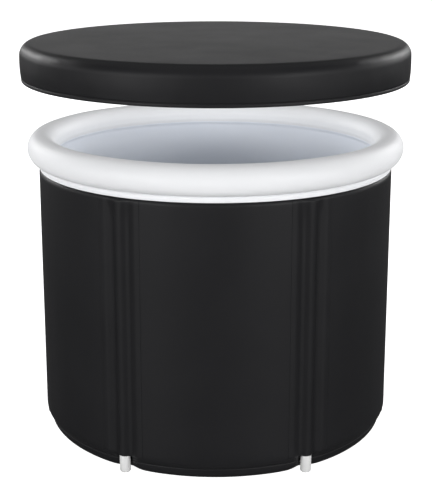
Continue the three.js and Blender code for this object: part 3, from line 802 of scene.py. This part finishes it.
def ring_loop(turn):
    """Section of the ring at a turn round the tub, with the weld on its inner side."""
    around = np.linspace(-math.pi, math.pi, ring_around, endpoint=False)
    from_weld = math.pi - np.abs(around)
    weld = np.exp(-((from_weld * ring_tube / seam_width) ** 2))
    pucker = np.exp(-((from_weld * ring_tube / pucker_width) ** 2))
    fold = noise.noise(Vector((60 * math.cos(turn), 60 * math.sin(turn), 0.0)))
    sag = noise.noise(Vector((3 * math.cos(turn), 3 * math.sin(turn), 8.0)))
    size = ring_tube - ring_seam * weld + ring_pucker * pucker * fold + ring_sag * sag - ring_ease
    radius = ring_circle + size * np.cos(around)
    height = ring_height + size * np.sin(around)
    return np.column_stack([radius * math.sin(turn), -radius * math.cos(turn), height])


ring_turns = np.linspace(2 * math.pi, 0, ring_segments, endpoint=False)
ring = skinned("mouth_ring", [ring_loop(turn) for turn in ring_turns], "joined")
fitted(ring, white_vinyl, "white_vinyl", "tub", "top_ring")


# Ring valve
# A moulded inflation valve on the ring's inner side: a base, a one-way rubber flap and a cap.
# The base is welded into the vinyl and the cap turns on a small pin.

rubber = finish(
    "black_rubber", grain_group,
    {"Deep": (0.014, 0.014, 0.014, 1), "Pale": (0.026, 0.026, 0.026, 1),
     "Gloss low": 0.7, "Gloss high": 0.85},
    relief_depth=0.00006, Specular_IOR_Level=0.3,
)
kept_node("ring_valve_base", white_plastic, 0.0005)
kept_node("ring_valve_flap", rubber, 0.0002)
kept_node("ring_valve_cap", white_plastic, 0.0005)


# Drain tap
# A quarter-turn tap low on the back, clamped through the wall by a nut and two rubber washers.
# The handle turns the spool inside, and a hose pushes on to the barbed tail.

steel = finish(
    "steel", grain_group,
    {"Deep": (0.48, 0.48, 0.49, 1), "Pale": (0.62, 0.62, 0.63, 1),
     "Gloss low": 0.22, "Gloss high": 0.36},
    relief_depth=0.00002, Metallic=1.0,
)
kept_node("drain_body", black_plastic, 0.0006)
kept_node("drain_gasket_outer", rubber, 0.0004)
kept_node("drain_gasket_inner", rubber, 0.0004)
kept_node("drain_nut", black_plastic, 0.0008)
kept_node("drain_spool", white_plastic, 0.0004)
kept_node("drain_handle", black_plastic, 0.0012)
kept_node("drain_handle_screw", steel, 0.0003)


# Lid foam
# A thick disc of foam fills the top of the lid, and a thin band of it stiffens the skirt.
# Both are cut from sheet and held by the cover.

lid_bottom = 0.854
lid_height = 0.092
lid_panel = 0.030
lid_crown = 0.004
lid_round = 0.028
lid_radius = 0.4602
lid_hem_radius = 0.4582
lid_hem_inside = 0.4522
hem_height = 0.0084
skirt_bulge = 0.0012
cover_thickness = 0.0012
lid_eye = 0.012
lid_flat = 0.3
foam_segments = 192
foam_gap = cover_thickness + 0.0016
band_foam = 0.0022


def lid_profile(inset, steps):
    """Profile of the lid from the hem, up the side, over the rounded edge and to the middle."""
    round_start = lid_height - lid_crown - lid_round
    side = []
    for share in np.linspace(0, 1, steps, endpoint=False):
        bulge = skirt_bulge * math.sin(math.pi * share)
        side.append((lid_hem_radius + (lid_radius - lid_hem_radius) * share + bulge - inset,
                     hem_height + (round_start - hem_height) * share))
    edge = round_corner(lid_radius - lid_round, round_start, lid_round - inset, 0, math.pi / 2, 14)
    top = []
    for share in np.linspace(1, 0, 16)[1:-1]:
        top.append(((lid_radius - lid_round) * share, lid_height - lid_crown * share ** 2 - inset))
    top.append((lid_eye, lid_height - inset))
    return [(radius, lid_bottom + height) for radius, height in side + edge + top]


ceiling = lid_bottom + lid_height - lid_panel
disc_bottom = ceiling + 0.0018
foam_outline = lid_profile(foam_gap, 20)
disc_side = [place for place in foam_outline if place[1] > disc_bottom + 0.001]
disc_under = [(lid_eye, disc_bottom), (lid_flat, disc_bottom),
              (disc_side[0][0] - 0.0005, disc_bottom)]
disc = turned("lid_foam_disc_cut", disc_under + disc_side, foam_segments, "closed")
fitted(disc, foam, "foam", "lid", "lid_foam_disc")
band_side = [place for place in foam_outline if place[1] < disc_bottom - 0.001]
band_back = [(radius - band_foam, height) for radius, height in band_side[::-1]]
skirt_band = turned("lid_foam_band_cut", band_side + band_back, foam_segments, "joined")
fitted(skirt_band, foam, "foam", "lid", "lid_foam_band")


# Lid lining
# The inside of the lid, a shallow cap of the same black fabric that slips down over the ring.
# It is sewn to the cover along the hem.

lining_gap = 0.0050
lining_round = 0.004
lining_segments = 192
lining_top = ceiling + cover_thickness
lining_side = [place for place in lid_profile(lining_gap, 20) if place[1] < ceiling - lining_round]
lining_edge = lining_side[-1][0]
lining_profile = [(lid_eye, ceiling), (lid_flat, ceiling), (lining_edge - 0.006, ceiling)]
lining_profile += [(radius - cover_thickness, height) for radius, height in lining_side[::-1]]
lining_profile += lining_side
lining_profile += [(lining_edge - lining_round, lining_top), (lid_flat, lining_top),
                   (lid_eye, lining_top)]
lining = turned("lid_inside", lining_profile, lining_segments, "closed")
fitted(lining, black_fabric, "black_fabric", "lid", "lid_lining")


# Lid binding
# A bound hem of black tape along the lower edge of the skirt.
# It is folded round the edges of the cover and the lining and sewn through.

binding_fold = 0.0006
binding_side = lid_bottom + 0.0072
binding_top = lid_bottom + 0.0080
binding_segments = 256
binding_middle = (lid_hem_radius + lid_hem_inside) / 2
binding_half = (lid_hem_radius - lid_hem_inside) / 2
binding_profile = round_corner(binding_middle, lid_bottom + binding_half, binding_half,
                               -math.pi, 0, 14)
binding_profile += [(lid_hem_radius, binding_side), (lid_hem_radius - binding_fold, binding_top),
                    (lid_hem_inside + binding_fold, binding_top), (lid_hem_inside, binding_side)]
binding = turned("lid_hem", binding_profile, binding_segments, "joined")
fitted(binding, black_fabric, "black_fabric", "lid", "lid_binding")


# Lid cover
# The padded top of the lid: black coated fabric drawn over the foam, with a soft rounded edge.
# The skirt is slightly full, so that it ripples a little between the hem and the edge.

smooth_radius = 0.40
smooth_fade = 0.05
wave_depth = 0.0011
pucker_depth = 0.0004
cover_steps = 16
cover_segments = 288


def cover_ripple(turn, radius, height):
    """The cover ripples on its skirt and its rounded edge, and lies smooth on top."""
    on_skirt = min(1.0, max(0.0, (radius - smooth_radius) / smooth_fade))
    wave = Vector((4 * math.cos(turn), 4 * math.sin(turn), 14 * height))
    pucker = Vector((16 * math.cos(turn), 16 * math.sin(turn), 22 * height))
    return on_skirt * (wave_depth * noise.noise(wave) + pucker_depth * noise.noise(pucker))


cover_profile = lid_profile(cover_thickness, cover_steps)[::-1] + lid_profile(0, cover_steps)
cover = turned("lid_cover_padded", cover_profile, cover_segments, "closed", cover_ripple)
fitted(cover, black_fabric, "black_fabric", "lid", "lid_cover")


# Studio
# A plain pale floor, a white surround and soft windows in front, behind and at both sides.
# The camera stands where the photograph's did and looks down a little on the ring.

floor_half = 30
floor_plan = ((-1, -1), (1, -1), (1, 1), (-1, 1))
floor_corners = [(x * floor_half, y * floor_half, 0) for x, y in floor_plan]
floor_mesh = bpy.data.meshes.new("studio_floor")
floor_mesh.from_pydata(floor_corners, [], [(0, 1, 2, 3)])
floor = bpy.data.objects.new("studio_floor", floor_mesh)
bpy.context.collection.objects.link(floor)
floor_paint = bpy.data.materials.new("floor_paint")
floor_paint.use_nodes = True
floor_shader = floor_paint.node_tree.nodes["Principled BSDF"]
floor_shader.inputs["Base Color"].default_value = (0.9, 0.9, 0.9, 1)
floor_shader.inputs["Roughness"].default_value = 0.9
floor_shader.inputs["Specular IOR Level"].default_value = 0.0
floor_shader.inputs["Emission Color"].default_value = (1, 1, 1, 1)
seen = place_node(floor_paint.node_tree, "ShaderNodeLightPath").outputs["Is Camera Ray"]
floor_paint.node_tree.links.new(seen, floor_shader.inputs["Emission Strength"])
floor.data.materials.append(floor_paint)
floor.visible_glossy = False

# The surround glows in a band above the horizon, dimmer behind, with two low windows in front.
# The camera sees it as plain white.
glow_middle = 0.15
glow_width = 0.12
glow_front = 2.1
glow_behind = 0.52
front_end = math.radians(115)
behind_start = math.radians(158)
sky_dark = 0.05
window_bearing = math.radians(44)
window_width = math.radians(17)
window_drop = -0.12
window_bright = 0.6
sky_seen = 1.05


def hump(tree, value, middle, width):
    """A smooth hump round a middle value, one high."""
    off = math_node(tree, "DIVIDE", math_node(tree, "SUBTRACT", value, middle), width)
    square = math_node(tree, "MULTIPLY", off, off)
    return math_node(tree, "EXPONENT", math_node(tree, "MULTIPLY", square, -1))


world = bpy.data.worlds.new("studio_surround")
bpy.context.scene.world = world
world.use_nodes = True
sky = world.node_tree
toward = place_node(sky, "ShaderNodeTexCoord").outputs["Generated"]
axes = place_node(sky, "ShaderNodeSeparateXYZ", {0: toward}).outputs
ahead = math_node(sky, "MULTIPLY", axes[1], -1)
bearing = math_node(sky, "ABSOLUTE", math_node(sky, "ARCTAN2", axes[0], ahead))
glow_around = place_node(
    sky, "ShaderNodeMapRange",
    {0: bearing, 1: front_end, 2: behind_start, 3: glow_front, 4: glow_behind},
).outputs[0]
glow = math_node(sky, "MULTIPLY", hump(sky, axes[2], glow_middle, glow_width), glow_around)
below = place_node(
    sky, "ShaderNodeMapRange", {0: axes[2], 1: 0.0, 2: window_drop, 3: 0.0, 4: 1.0}
).outputs[0]
window = math_node(sky, "MULTIPLY", hump(sky, bearing, window_bearing, window_width), below)
low_window = math_node(sky, "MULTIPLY", window, window_bright)
sky_tone = math_node(sky, "ADD", math_node(sky, "ADD", glow, sky_dark), low_window)
seen = place_node(sky, "ShaderNodeLightPath").outputs["Is Camera Ray"]
shown_tone = place_node(sky, "ShaderNodeMix", {0: seen, 2: sky_tone, 3: sky_seen}).outputs[0]
sky.links.new(shown_tone, sky.nodes["Background"].inputs["Strength"])
sky.nodes["Background"].inputs["Color"].default_value = (1, 1, 1, 1)


def soft_light(name, place, target, size, power):
    """A rectangular light at a place, turned to a target, in metres and watts."""
    light = bpy.data.lights.new(name, "AREA")
    light.shape = "RECTANGLE"
    light.size, light.size_y = size
    light.energy = power
    lamp = bpy.data.objects.new(name, light)
    lamp.location = place
    lamp.rotation_euler = (Vector(target) - Vector(place)).to_track_quat("-Z", "Y").to_euler()
    bpy.context.collection.objects.link(lamp)


ring_middle = (0, 0, 0.7)
soft_light("overhead", (0, -0.4, 3.6), (0, 0, 0), (4.5, 4.5), 30)
soft_light("back_window", (0, 4.5, 2.0), (0, 0, 0.9), (3.0, 1.2), 3)
for side in (-1, 1):
    soft_light("front_window", (6.2 * side, -6.6, 2.0), ring_middle, (4.0, 1.3), 228)
    soft_light("gap_window", (2.6 * side, -1.9, 1.0), ring_middle, (1.6, 0.16), 5)
    soft_light("rear_window", (5.6 * side, 5.6, 3.4), ring_middle, (3.0, 1.3), 170)
    soft_light("side_window", (4.4 * side, 2.4, 1.6), ring_middle, (2.0, 1.4), 12)

# The lid hangs over the open tub without shading it, so that the ring is lit from above.
for piece in (disc, skirt_band, lining, binding, cover):
    piece.visible_shadow = False
    piece.visible_diffuse = False
bpy.context.scene.view_settings.view_transform = "Standard"

photo_width = 432
photo_height = 500
focal_pixels = 1331.4
tub_middle_pixel = 215.5
camera_distance = 3.1627
camera_height = 1.3027
camera_tilt = 0.2702
camera_data = bpy.data.cameras.new("photo_camera")
camera_data.sensor_width = 36
camera_data.lens = focal_pixels * camera_data.sensor_width / photo_height
camera_data.shift_x = (photo_width / 2 - tub_middle_pixel) / photo_height
camera_data.clip_end = 200
camera = bpy.data.objects.new("photo_camera", camera_data)
camera.location = (0, -camera_distance, camera_height)
camera.rotation_euler = (math.pi / 2 - camera_tilt, 0, 0)
bpy.context.collection.objects.link(camera)
bpy.context.scene.camera = camera
